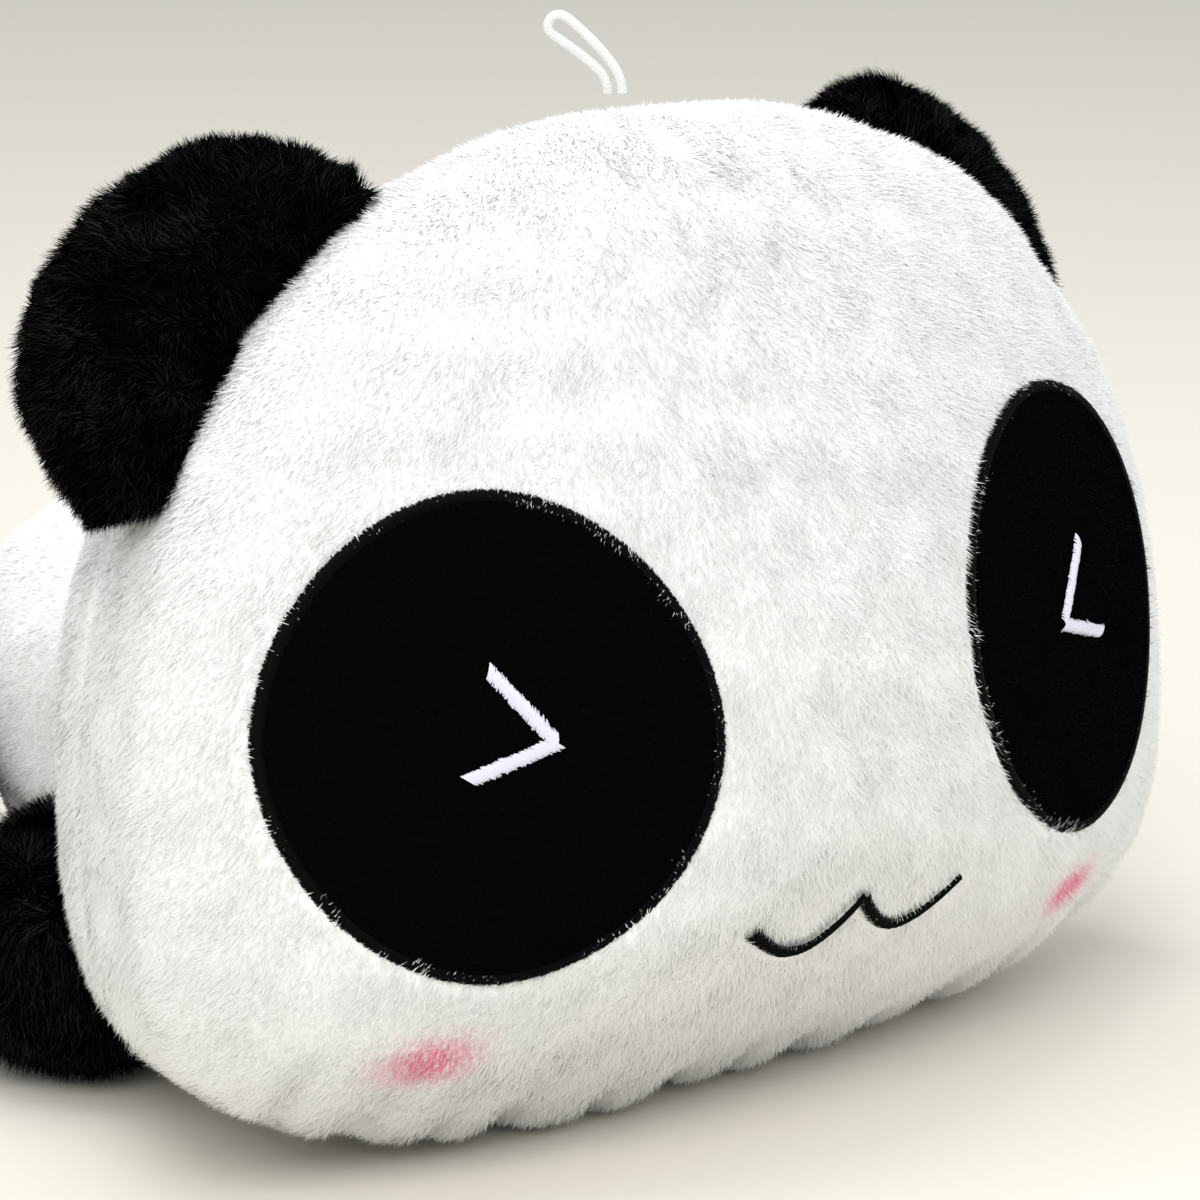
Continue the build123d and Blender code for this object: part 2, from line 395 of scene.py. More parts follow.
def place_piece(
    name: str, mesh: bpy.types.Mesh, body: str, finishes: Sequence
) -> bpy.types.Object:
    """Puts a mesh in the scene as a piece on a body.

    Args:
        name: the piece's name.
        mesh: its mesh.
        body: the body that it rides on.
        finishes: its finishes, in slot order.

    Returns:
        The piece.
    """
    piece = put(name, mesh)
    for finish in finishes:
        mesh.materials.append(finish.material())
    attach(piece, body)
    LOG.info("%s: %d faces on %s", name, len(mesh.polygons), body)
    return piece


def place_skin(
    name: str, skin: Skin, body: str, ground: ClothFinish, nodes: Sequence[str]
) -> None:
    """Puts a stuffed skin in the scene as a piece in place of its CAD nodes, which are hidden.

    Args:
        name: the piece's name.
        skin: its surface.
        body: the body that it rides on.
        ground: the backing's finish.
        nodes: the CAD nodes that it stands for.
    """
    mesh = write_mesh(name, skin.points, skin.triangles, 3)
    piece = place_piece(name, mesh, body, (ground,))
    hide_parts(*nodes)


# ---------------------------------------------------------------------- pile
@dataclass(frozen=True)
class Pile:
    """How a plush's fibres stand: sizes in metres."""

    length: float
    width: float
    lean: float  # 0 stands upright, 1 lies flat
    scatter: float
    tuft: float  # size of the tufts that lean together
    tuft_lean: float
    finishes: tuple[FibreFinish, ...]
    shares: tuple[float, ...]


WHITE_PILE = Pile(4.8 * MM, 0.7 * MM, 0.62, 0.22, 0.022, 0.22, WHITE_FIBRES, (0.4, 0.4, 0.2))
# In the black piles, the later shares are the lighter fibres of painted sheen and painted highlight; the limbs
# carry more of them.
BLACK_PILE = Pile(7.2 * MM, 0.55 * MM, 0.58, 0.26, 0.018, 0.35, BLACK_FIBRES, (0.6, 0.3, 0.1))
LIMB_PILE = Pile(9.5 * MM, 0.6 * MM, 0.55, 0.3, 0.022, 0.5, BLACK_FIBRES, (0.45, 0.35, 0.2))
# The velboa's smaller share is the lighter fibres of painted highlight.
VELBOA_PILE = Pile(1.3 * MM, 0.4 * MM, 0.35, 0.5, 0.006, 0.4, VELBOA_FIBRES, (0.82, 0.18))


@dataclass
class Roots:
    """Where a pile's fibres stand on a skin."""

    points: Array
    normals: Array


def scatter_roots(skin: Skin, spacing: float, random: np.random.Generator) -> Roots:
    """Spreads roots evenly by area: one to each equal share of the running area, anywhere in its triangle.

    Args:
        skin: the surface.
        spacing: the mean distance between roots.
        random: the generator.

    Returns:
        The roots.
    """
    a, b, c = (skin.points[skin.triangles[:, k]] for k in range(3))
    areas = 0.5 * np.linalg.norm(np.cross(b - a, c - a), axis=1)
    running = np.cumsum(areas)
    count = int(running[-1] / spacing**2)
    picks = (np.arange(count) + random.random(count)) / count * running[-1]
    chosen = np.minimum(np.searchsorted(running, picks), len(areas) - 1)
    u, v = random.random((2, count))
    flip = u + v > 1.0
    u, v = np.where(flip, 1.0 - u, u)[:, None], np.where(flip, 1.0 - v, v)[:, None]
    points = a[chosen] * (1.0 - u - v) + b[chosen] * u + c[chosen] * v
    n = [skin.normals[skin.triangles[chosen, k]] for k in range(3)]
    return Roots(points, unit(n[0] * (1.0 - u - v) + n[1] * u + n[2] * v))


@dataclass
class Growth:
    """What changes over a skin as its pile is grown on it; None leaves it even."""

    comb: Callable[[Roots], Array]  # the way that the fibres lean
    length: Optional[Callable[[Roots], Array]] = None  # share of the pile's length
    bare: Optional[Callable[[Roots], Array]] = None  # true where nothing grows
    tint: Optional[Callable[[Roots, np.random.Generator], Array]] = None  # finish numbers, or -1


class PileMaker:
    """Grows a pile on a skin as pieces of separate fibres."""

    LIMIT = 150_000

    def __init__(self, pile: Pile, growth: Growth, spacing: float, seed: int) -> None:
        """Keeps the pile, what changes over the skin, the spacing and the seed."""
        self.pile = pile
        self.growth = growth
        self.spacing = spacing
        self.random = np.random.default_rng(seed)
        self.seed = seed

    def grow(self, name: str, skin: Skin, body: str, slot: Slot, extra: Sequence[FibreFinish] = ()) -> None:
        """Grows the pile and puts it in pieces under the limit of fibres.

        Args:
            name: the pieces' name, a number is added.
            skin: the surface.
            body: the body that they ride on.
            slot: a material slot name, handed on to write, which does not use it.
            extra: finishes past the pile's own, which tint may pick.
        """
        roots = scatter_roots(skin, self.spacing, self.random)
        keep = roots.points[:, 2] > 2.5 * MM
        if self.growth.bare is not None:
            keep &= ~self.growth.bare(roots)
        roots = Roots(roots.points[keep], roots.normals[keep])
        points, normals = self.fibres(roots)
        picks = self.pick(roots)
        finishes = (*self.pile.finishes, *extra)
        parts = int(np.ceil(len(roots.points) / self.LIMIT))
        for number, chosen in enumerate(np.array_split(np.arange(len(roots.points)), parts)):
            shown = (points[chosen], normals[chosen], picks[chosen])
            self.write(f"{name}_{number + 1}", *shown, body, slot, finishes)

    def pick(self, roots: Roots) -> Array:
        """A finish for each fibre: by shares, moved by soft patches, then as the tint says."""
        count = len(roots.points)
        edges = np.cumsum(self.pile.shares)
        chance = self.random.random(count) + 0.12 * waves(roots.points, 0.035, self.seed + 5)
        chance = np.clip(chance, 0.0, 0.999)
        picks = np.searchsorted(edges / edges[-1], chance)
        if self.growth.tint is not None:
            tinted = self.growth.tint(roots, self.random)
            picks = np.where(tinted >= 0, tinted, picks)
        return picks

    def fibres(self, roots: Roots) -> tuple[Array, Array]:
        """Shapes each fibre as one long triangle from its root to its tip.

        A fibre runs along normal * (1 - lean) + comb * lean, plus its tuft's own lean and its
        own scatter. Its root edge lies square to that, turned a little, with its outer side up.

        Args:
            roots: where they stand.

        Returns:
            The corners and the corners' normals, both (N, 3, 3).
        """
        pile, random, n = self.pile, self.random, roots.normals
        count = len(n)
        way = self.growth.comb(roots)
        tufts = np.stack([waves(roots.points, pile.tuft, self.seed + k) for k in range(3)], axis=1)
        way = way + pile.tuft_lean * tufts
        way = way - (way * n).sum(axis=1, keepdims=True) * n
        run = n * (1.0 - pile.lean) + unit(way) * pile.lean
        run = run + pile.scatter * random.normal(size=(count, 3)) * 0.6
        lift = (run * n).sum(axis=1, keepdims=True)
        run = unit(run + n * np.maximum(0.22 - lift, 0.0))
        uneven = 1.0 + 0.15 * waves(roots.points, pile.tuft * 1.7, self.seed + 9)
        length = pile.length * random.uniform(0.7, 1.15, count) * uneven
        if self.growth.length is not None:
            length = length * self.growth.length(roots)
        across = unit(np.cross(run, n) + 1e-6)
        turn = random.uniform(-0.7, 0.7, count)[:, None]
        across = across * np.cos(turn) + np.cross(run, across) * np.sin(turn)
        face = np.cross(across, run)
        across = across * np.where((face * n).sum(axis=1, keepdims=True) < 0.0, -1.0, 1.0)
        half = across * (0.5 * pile.width)
        foot = roots.points - n * (0.6 * MM)
        tip = foot + run * length[:, None]
        tip[:, 2] = np.maximum(tip[:, 2], 0.4 * MM)
        points = np.stack([foot - half, foot + half, tip], axis=1)
        face = unit(np.cross(half * 2.0, tip - foot))
        low = unit(n + face * 0.15)
        high = unit(n * 0.9 + face * 0.2 + run * 0.12)
        return points, np.stack([low, low, high], axis=1)

    def write(
        self, name: str, points: Array, normals: Array, picks: Array, body: str, slot: Slot, finishes: Sequence
    ) -> None:
        """Puts fibres in one mesh, with their soft normals.

        Args:
            name: the piece's name.
            points: (N, 3, 3) corners.
            normals: (N, 3, 3) normals.
            picks: (N,) finish numbers.
            body: the body that it rides on.
            slot: not used.
            finishes: the finishes.
        """
        count = len(points)
        mesh = write_mesh(name, points.reshape(-1, 3), np.arange(count * 3).reshape(-1, 3), 3)
        mesh.polygons.foreach_set("material_index", picks.astype(np.int32))
        mesh.normals_split_custom_set_from_vertices(normals.reshape(-1, 3).astype(np.float32))
        place_piece(name, mesh, body, finishes)


def comb_towards(*way: float) -> Callable[[Roots], Array]:
    """Fibres that all lean one way, such as down."""
    fixed = unit(np.array(way, dtype=float))
    return lambda roots: np.broadcast_to(fixed, roots.points.shape)


# ---------------------------------------------------------------------- head
@dataclass
class HeadShape:
    """The head's closed form: a superellipsoid that is deeper behind than in front."""

    centre: tuple[float, float, float] = (0.0, -0.220, 0.117)
    lean: float = math.radians(4.5)
    half_width: float = 0.250
    up: float = 0.249
    down: float = 0.1195
    front: float = 0.111
    back: float = 0.2415
    top_power: float = 2.227
    low_power: float = 3.013
    front_power: float = 1.502
    back_power: float = 1.683
    neck_depth: float = 0.182

    def to_frame(self, local: Array) -> Array:
        """Turns and moves points from the head's own axes to the frame: about X by the lean, face up."""
        c, s = math.cos(self.lean), math.sin(self.lean)
        x, y, z = local[..., 0], local[..., 1], local[..., 2]
        return np.stack([x, y * c + z * s, z * c - y * s], axis=-1) + np.array(self.centre)

    def to_head(self, points: Array) -> Array:
        """Undoes to_frame."""
        c, s = math.cos(self.lean), math.sin(self.lean)
        x, y, z = np.moveaxis(points - np.array(self.centre), -1, 0)
        return np.stack([x, y * c - z * s, z * c + y * s], axis=-1)

    def face(self, x: Array, z: Array, sink: float | Array) -> Array:
        """Points of the face over flat face coordinates, sunk below the form's surface.

        The outline's share at (x, z) is ((x/a)^n + (z/c)^n)^(1/n), and the depth in front of
        it is front * (1 - share^m)^(1/m).

        Args:
            x: metres to the panda's left.
            z: metres up.
            sink: metres in from the surface.

        Returns:
            Points in the frame.
        """
        local, normal = self.face_local(x, z)
        return self.to_frame(local - normal * np.asarray(sink)[..., None])

    def face_local(self, x: Array, z: Array) -> tuple[Array, Array]:
        """The face's points and outward normals in the head's own axes, as face says."""
        eps = 0.0005

        def depth(px: Array, pz: Array) -> Array:
            """The face's depth in front of the centre."""
            high = pz >= 0.0
            rise = np.where(high, self.up, self.down)
            n = np.where(high, self.top_power, self.low_power)
            share = (np.abs(px / self.half_width) ** n + np.abs(pz / rise) ** n) ** (1.0 / n)
            m = self.front_power
            return -self.front * np.maximum(1.0 - np.minimum(share, 0.9999) ** m, 0.0) ** (1.0 / m)

        y = depth(x, z)
        dx = (depth(x + eps, z) - depth(x - eps, z)) / (2.0 * eps)
        dz = (depth(x, z + eps) - depth(x, z - eps)) / (2.0 * eps)
        normal = unit(np.stack([dx, -np.ones_like(y), dz], axis=-1))
        return np.stack([x, y, z], axis=-1), normal

    def skin(self, turns: int = 420, rings: int = 260) -> Skin:
        """The whole form as a skin.

        x = r cos(U)^(2/n), z = c r sin(U)^(2/n), r = cos(V)^(2/m) and y = b sin(V)^(2/m), with the
        powers and sizes changing from low to high and from front to back. The back is levelled
        softly at the neck, and the angles are spaced so that the grid stays even.

        Args:
            turns: steps round.
            rings: steps from the front pole to the back pole.

        Returns:
            The skin.
        """
        even = np.linspace(-1.0, 1.0, rings + 2)[1:-1]
        v = even * (0.5 * np.pi)
        u = np.arange(turns) * (2.0 * np.pi / turns)
        v, u = np.meshgrid(v, u, indexing="ij")
        n = np.where(np.sin(u) >= 0.0, self.top_power, self.low_power)
        m = np.where(v < 0.0, self.front_power, self.back_power)
        # angles that follow the arc of a circle, put on the superellipse along its own ray
        flat_x, flat_z = np.cos(u), np.sin(u)
        share = (np.abs(flat_x) ** n + np.abs(flat_z) ** n) ** (-1.0 / n)
        ray_r, ray_y = np.cos(v), np.sin(v)
        reach = (np.abs(ray_r) ** m + np.abs(ray_y) ** m) ** (-1.0 / m)
        r = ray_r * reach
        rise = np.where(flat_z >= 0.0, self.up, self.down)
        x = self.half_width * r * flat_x * share
        z = rise * r * flat_z * share
        y = np.where(v < 0.0, self.front, self.back) * ray_y * reach
        over = y - self.neck_depth
        y = self.neck_depth + 0.5 * (over - np.sqrt(over * over + 0.03**2))
        grid = np.stack([x, y, z], axis=-1).reshape(-1, 3)
        poles = np.array([[0.0, -self.front, 0.0], [0.0, self.neck_depth, 0.0]])
        poles[1, 1] = grid[-turns:, 1].mean()
        poles[0, 1] = grid[:turns, 1].mean()
        points = self.to_frame(np.concatenate([grid, poles]))
        return Skin(points, closed_grid(rings, turns))


def closed_grid(rings: int, turns: int) -> Array:
    """Triangles of a grid of rings that closes round and onto two poles after the grid's points.

    Args:
        rings: how many rings.
        turns: points to the ring.

    Returns:
        (M, 3) indices, turning so that the faces look outwards.
    """
    ring = np.arange(rings - 1)[:, None] * turns
    step = np.arange(turns)[None, :]
    ahead = (step + 1) % turns
    a, b = ring + step, ring + ahead
    c, d = a + turns, b + turns
    first, last = rings * turns, rings * turns + 1
    step, ahead = step[0], ahead[0]
    top = (rings - 1) * turns
    return np.concatenate(
        [
            np.stack([a, d, b], axis=-1).reshape(-1, 3),
            np.stack([a, c, d], axis=-1).reshape(-1, 3),
            np.stack([np.full(turns, first), step, ahead], axis=-1),
            np.stack([np.full(turns, last), top + ahead, top + step], axis=-1),
        ]
    )


@dataclass(frozen=True)
class Oval:
    """An eye patch's outline on the face, in face metres: a turned superellipse."""

    side: int
    x: float = 0.1395
    z: float = 0.0455
    across: float = 0.0785
    along: float = 0.0862
    turn: float = math.radians(5.35)
    power: float = 1.887

    def share(self, x: Array, z: Array) -> Array:
        """0 at the middle and 1 on the outline: ((a/across)^p + (b/along)^p)^(1/p)."""
        dx, dz = x * self.side - self.x, z - self.z
        a = dx * math.cos(self.turn) + dz * math.sin(self.turn)
        b = -dx * math.sin(self.turn) + dz * math.cos(self.turn)
        p = self.power
        return ((np.abs(a) / self.across) ** p + (np.abs(b) / self.along) ** p) ** (1.0 / p)

    def place(self, share: Array, angle: Array) -> tuple[Array, Array]:
        """Face coordinates at a share of the outline and an angle round it."""
        p = 2.0 / self.power
        a = self.across * share * signed_power(np.cos(angle), p)
        b = self.along * share * signed_power(np.sin(angle), p)
        x = self.x + a * math.cos(self.turn) - b * math.sin(self.turn)
        z = self.z + a * math.sin(self.turn) + b * math.cos(self.turn)
        return x * self.side, z


@dataclass
class Stitching:
    """Satin stitch: a ribbon of threads laid side by side across a line on the face."""

    shape: HeadShape
    pitch: float = THREAD_PITCH
    sink: float = 2.0 * MM
    height: float = 1.1 * MM
    slant: float = 0.5  # how far a thread slips along the line as it crosses it

    def threads(self, x: Array, z: Array, width: Array, random: np.random.Generator) -> tuple[Array, Array]:
        """Lays one thread at each point of a line.

        A thread crosses the line square to it, slipped by the slant, and rises over it as a half
        wave. Its section is a low ridge of three points.

        Args:
            x: the line's face coordinates, a pitch apart.
            z: the same, upwards.
            width: the stitch's width at each.
            random: the generator, for the uneven ends.

        Returns:
            Points and four-sided faces.
        """
        steps = 9
        run = np.stack([np.gradient(x), np.gradient(z)], axis=-1)
        run = unit(run)
        side = np.stack([-run[:, 1], run[:, 0]], axis=-1)
        reach = width[:, None] * 0.5 * (1.0 + 0.11 * random.normal(size=(len(x), 2)))
        s = np.linspace(-1.0, 1.0, steps)
        out = np.where(s[None, :] < 0.0, s[None, :] * reach[:, :1], s[None, :] * reach[:, 1:])
        slip = self.slant * out
        middle_x = x[:, None] + side[:, 0:1] * out + run[:, 0:1] * slip
        middle_z = z[:, None] + side[:, 1:2] * out + run[:, 1:2] * slip
        rise = self.height * np.sqrt(np.maximum(1.0 - s**2, 0.0))[None, :] * np.ones((len(x), 1))
        ridge = np.array([-1.0, 0.0, 1.0])
        half = 0.62 * self.pitch
        px = middle_x[:, :, None] + run[:, 0][:, None, None] * ridge * half
        pz = middle_z[:, :, None] + run[:, 1][:, None, None] * ridge * half
        lift = rise[:, :, None] + np.array([-0.35, 0.12, -0.35]) * self.pitch
        points = self.shape.face(px, pz, self.sink - lift)
        count = len(x)
        index = np.arange(count * steps * 3).reshape(count, steps, 3)
        quads = np.stack(
            [index[:, :-1, :-1], index[:, 1:, :-1], index[:, 1:, 1:], index[:, :-1, 1:]], axis=-1
        )
        return points.reshape(-1, 3), quads.reshape(-1, 4)

    def sew(
        self,
        name: str,
        lines: Sequence[tuple[Array, Array, Array]],
        finish: FibreFinish,
        nodes: Sequence[str],
    ) -> None:
        """Sews lines and puts them in one piece.

        Args:
            name: the piece's name.
            lines: (x, z, width) arrays of each line.
            finish: the thread's finish.
            nodes: the CAD nodes that it stands for.
        """
        random = np.random.default_rng(len(name))
        points, faces, base = [], [], 0
        for x, z, width in lines:
            laid, quads = self.threads(x, z, width, random)
            points.append(laid)
            faces.append(quads + base)
            base += len(laid)
        points, faces = np.concatenate(points), np.concatenate(faces)
        middle = points[faces].mean(axis=1)
        corner = points[faces[:, 0]]
        square = np.cross(points[faces[:, 1]] - corner, points[faces[:, 3]] - corner)
        _, ahead = self.shape.face_local(*self.shape.to_head(middle)[:, [0, 2]].T)
        inward = (square * ahead).sum(axis=1) < 0.0
        faces[inward] = faces[inward][:, ::-1]
        mesh = write_mesh(name, points, faces, 4)
        piece = place_piece(name, mesh, "head", (finish,))
        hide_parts(*nodes)


def even_line(x: Array, z: Array, width: Array, pitch: float) -> tuple[Array, Array, Array]:
    """The same line with points a pitch apart along it."""
    gone = np.concatenate([[0.0], np.cumsum(np.hypot(np.diff(x), np.diff(z)))])
    count = max(int(gone[-1] / pitch), 4)
    wanted = np.linspace(0.0, gone[-1], count)
    return np.interp(wanted, gone, x), np.interp(wanted, gone, z), np.interp(wanted, gone, width)


@dataclass
class Head:
    """The head: its skin and pile, the face sewn on it, and the hanging loop."""

    shape: HeadShape = field(default_factory=HeadShape)
    sink: float = 3.8 * MM
    eyes: tuple[Oval, Oval] = (Oval(1), Oval(-1))
    seam_depth: float = 0.050
    cheeks: tuple[float, float] = (0.1455, -0.1600)  # across, the left one first
    cheek_height: float = -0.066
    cheek_radii: tuple[float, float] = (0.0135, 0.0072)

    def build(self) -> None:
        """Builds every piece of the head."""
        self.make_skin()
        self.grow_pile()
        for eye, side in zip(self.eyes, ("left", "right")):
            self.make_patch(eye, side)
        self.sew_mouth()
        HangingLoop().build()

    def make_skin(self) -> None:
        """The stuffed skin: sunk by the pile's height, drawn in along its seam, gathered at the chin."""
        skin = self.shape.skin()
        local = self.shape.to_head(skin.points)
        sink = self.sink * np.ones(len(local))
        lumps = 0.9 * MM * waves(skin.points, 0.11, 41) + 0.35 * MM * waves(skin.points, 0.05, 43)
        under = 1.0 - ease(self.eye_share(Roots(skin.points, skin.normals)), 0.9, 1.02)
        skin.push(np.clip(lumps, -1.6 * MM, 1.6 * MM) * (1.0 - under) - sink - 2.5 * MM * under)
        skin.seam(local[:, 1] - self.seam_depth, 3.5 * MM, 0.9 * MM, 0.5, 47)
        self.gather(skin, local)
        skin.rest(1.0 * MM)
        self.surface = skin
        nodes = ("head_face_panel", "head_back_panel", "head_stuffing")
        place_skin("head_plush", skin, "head", WHITE_GROUND, nodes)

    def gather(self, skin: Skin, local: Array) -> None:
        """Gathers the chin's seam: scallops that swell and pinch along the low front edge.

        Args:
            skin: the surface.
            local: its points in the head's axes before it was sunk.
        """
        low = ease(-local[:, 2], 0.045, 0.085)
        near = np.exp(-(((local[:, 1] + 0.018) / 0.018) ** 2))
        near = near * (1.0 + 0.35 * waves(skin.points, 0.09, 53))
        along = local[:, 0] + 0.004 * np.sin(local[:, 0] * 95.0)
        beat = 0.5 + 0.5 * np.cos(2.0 * np.pi * along / 0.034 + 0.6 * np.sin(along * 43.0))
        pinch = beat**3
        skin.push(low * near * (-4.5 * MM * pinch + 1.8 * MM * (1.0 - pinch)))

    def grow_pile(self) -> None:
        """Grows the white pile, with the cheeks' pink in it and gaps under what is sewn on."""
        growth = Growth(comb=self.comb, length=self.pile_length, bare=self.bare, tint=self.blush)
        maker = PileMaker(WHITE_PILE, growth, 0.92 * MM, 101)
        maker.grow("head_pile", self.surface, "head", Slot.WHITE, CHEEK_FIBRES)

    def comb(self, roots: Roots) -> Array:
        """Down and outwards from the brow, and back over the crown."""
        local = self.shape.to_head(roots.points)
        way = np.zeros_like(local)
        way[:, 0] = 1.2 * local[:, 0] / self.shape.half_width
        way[:, 1] = 0.3
        way[:, 2] = -0.8
        beside = self.eye_share(roots) < 1.03
        across = np.sign(local[:, 0]) * self.eyes[0].x - local[:, 0]
        inwards = np.stack([across, np.zeros_like(across), self.eyes[0].z - local[:, 2]], axis=-1)
        over = beside & (waves(roots.points, 0.0035, 17) > 0.1)
        return np.where(over[:, None], 2.0 * unit(inwards), way)

    def eye_share(self, roots: Roots) -> Array:
        """The smaller of the two eyes' outline shares, large away from the face."""
        local = self.shape.to_head(roots.points)
        share = np.minimum(*(eye.share(local[:, 0], local[:, 2]) for eye in self.eyes))
        return np.where(local[:, 1] < 0.0, share, 9.0)

    def bare(self, roots: Roots) -> Array:
        """Under the eye patches and under the mouth."""
        local = self.shape.to_head(roots.points)
        x, z = self.mouth_line()
        near = np.full(len(local), 1.0)
        close = (np.abs(local[:, 0]) < 0.06) & (local[:, 1] < 0.0)
        close &= (local[:, 2] < -0.02) & (local[:, 2] > -0.07)
        span = np.hypot(local[close][:, 0:1] - x[None, :], local[close][:, 2:3] - z[None, :])
        near[close] = span.min(axis=1)
        return (self.eye_share(roots) < 0.985) | (near < 2.5 * MM)

    def pile_length(self, roots: Roots) -> Array:
        """Full, but pressed shorter beside the stitches and along the side seam."""
        share = self.eye_share(roots)
        local = self.shape.to_head(roots.points)
        beside = 1.0 + 0.15 * np.exp(-(((share - 1.0) / 0.03) ** 2))
        seam = 1.0 - 0.2 * np.exp(-(((local[:, 1] - self.seam_depth) / 0.004) ** 2))
        return beside * seam

    def blush(self, roots: Roots, random: np.random.Generator) -> Array:
        """Pink fibres round each cheek's middle, paler outwards.

        Their depth of pink is exp(-0.62 q) in uneven steps, q being the squared share of the radii.

        Args:
            roots: where the fibres stand.
            random: the generator, for the uneven steps.

        Returns:
            Finish numbers, or -1 to stay white.
        """
        local = self.shape.to_head(roots.points)
        middle = np.where(local[:, 0] > 0.0, self.cheeks[0], self.cheeks[1])
        across = (local[:, 0] - middle) / self.cheek_radii[0]
        q = across**2 + ((local[:, 2] - self.cheek_height) / self.cheek_radii[1]) ** 2
        strength = np.where(local[:, 1] < 0.02, np.exp(-0.62 * q), 0.0)
        step = np.floor(strength * 5.4 + random.uniform(-0.75, 0.75, len(q))).astype(int)
        pink = len(WHITE_FIBRES) - 1 + np.clip(step, 1, len(CHEEK_FIBRES))
        return np.where((strength > 0.06) & (step > 0), pink, -1)

    def make_patch(self, eye: Oval, side: str) -> None:
        """An eye patch: its velboa pad and pile, its satin edge, and the chevron on it.

        Args:
            eye: the patch's outline.
            side: left or right.
        """
        rings, turns = 60, 240
        share = np.concatenate([np.linspace(0.02, 0.9, rings - 14), np.linspace(0.905, 0.985, 14)])
        share, angle = np.meshgrid(share, np.arange(turns) * (2.0 * np.pi / turns), indexing="ij")
        x, z = eye.place(share, angle)
        swell = 1.9 * MM * np.sqrt(np.maximum(1.0 - np.clip((share - 0.86) / 0.13, 0.0, 1.0) ** 2, 0.0))
        flat = np.stack([x, z, np.zeros_like(x)], axis=-1).reshape(-1, 3)
        quilt = 0.5 * MM * waves(flat, 0.045, 61).reshape(x.shape)
        sink = 3.3 * MM - swell - quilt * (1.0 - ease(share, 0.8, 0.95))
        front = self.shape.face(x, z, sink).reshape(-1, 3)
        behind = self.shape.face(x[-1], z[-1], 5.2 * MM)
        middle_x, middle_z = eye.place(np.array([0.0]), np.array([0.0]))
        poles = np.concatenate([self.shape.face(middle_x, middle_z, depth * MM) for depth in (1.4, 5.2)])
        points = np.concatenate([front, behind, poles])
        triangles = closed_grid(rings + 1, turns)
        if eye.side > 0:
            triangles = triangles[:, ::-1]
        skin = Skin(points, triangles)
        if (skin.normals[0] @ self.shape.face_local(x[0, :1], z[0, :1])[1][0]) < 0.0:
            skin = Skin(points, triangles[:, ::-1])
        mesh = write_mesh(f"eye_patch_{side}_velboa", skin.points, skin.triangles, 3)
        piece = place_piece(mesh.name, mesh, "head", (VELBOA,))
        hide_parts(f"eye_patch_{side}")
        self.grow_velboa(skin, eye, side)
        self.sew_edge(eye, side)
        self.sew_chevron(eye, side)

    def grow_velboa(self, skin: Skin, eye: Oval, side: str) -> None:
        """The patch's short pile, bare past the satin edge's middle and behind the pad."""

        def bare(roots: Roots) -> Array:
            """Behind the pad and past the satin edge's middle."""
            local = self.shape.to_head(roots.points)
            _, ahead = self.shape.face_local(local[:, 0], local[:, 2])
            behind = (roots.normals * ahead).sum(axis=1) < 0.3
            return (eye.share(local[:, 0], local[:, 2]) > 0.955) | behind

        growth = Growth(comb=comb_towards(0.2 * eye.side, 0.0, -1.0), bare=bare)
        maker = PileMaker(VELBOA_PILE, growth, 0.52 * MM, 201 + eye.side)
        maker.grow(f"eye_patch_{side}_pile", skin, "head", Slot.VELBOA)

    def sew_edge(self, eye: Oval, side: str) -> None:
        """The satin edge round a patch."""
        angle = np.linspace(0.0, 2.0 * np.pi, 2400)
        x, z = eye.place(np.full(2400, 0.975), angle)
        line = even_line(x, z, np.full(2400, 4.8 * MM), THREAD_PITCH)
        stitching = Stitching(self.shape, sink=3.2 * MM, height=1.8 * MM, slant=0.15)
        name = f"eye_edge_{side}"
        stitching.sew(f"{name}_stitches", [line], BLACK_THREAD, (name,))

    def sew_chevron(self, eye: Oval, side: str) -> None:
        """The chevron: two straight satin strokes that meet at a tip on the nose's side."""
        tip = np.array([0.1232, 0.0433])
        high, low = np.array([0.1428, 0.0707]), np.array([0.1538, 0.0342])
        lines = []
        for end in (high, low):
            x, z = (np.linspace(tip[k], end[k], 60) for k in range(2))
            lines.append(even_line(x * eye.side, z, np.full(60, 5.0 * MM), THREAD_PITCH))
        stitching = Stitching(self.shape, sink=1.1 * MM, height=1.1 * MM, slant=0.7 * eye.side)
        name = f"eye_chevron_{side}"
        stitching.sew(f"{name}_stitches", lines, LILAC_THREAD, (name,))

    def mouth_line(self) -> tuple[Array, Array]:
        """The mouth's line: on each side a half wave that falls from the middle peak and rises to its end."""
        t = np.linspace(0.0, 1.0, 60)
        x = 0.051 * t
        fall = np.sin(np.pi * t**0.9)
        z = -0.0336 - 0.0039 * t - 0.015 * fall
        return np.concatenate([-x[::-1], x[1:]]), np.concatenate([z[::-1], z[1:]])

    def sew_mouth(self) -> None:
        """The mouth's satin line, thick where each half starts and thin where it ends."""
        x, z = self.mouth_line()
        lines = []
        for sign in (-1.0, 1.0):
            chosen = x * sign >= -1e-9
            px, pz = x[chosen], z[chosen]
            gone = (px - px.min()) / (px.max() - px.min())
            width = (5.2 - 3.1 * gone) * MM
            lines.append(even_line(px, pz, width, THREAD_PITCH))
        stitching = Stitching(self.shape, sink=1.3 * MM, height=1.6 * MM, slant=0.4)
        stitching.sew("mouth_stitches", lines, BLACK_THREAD, ("mouth_embroidery",))


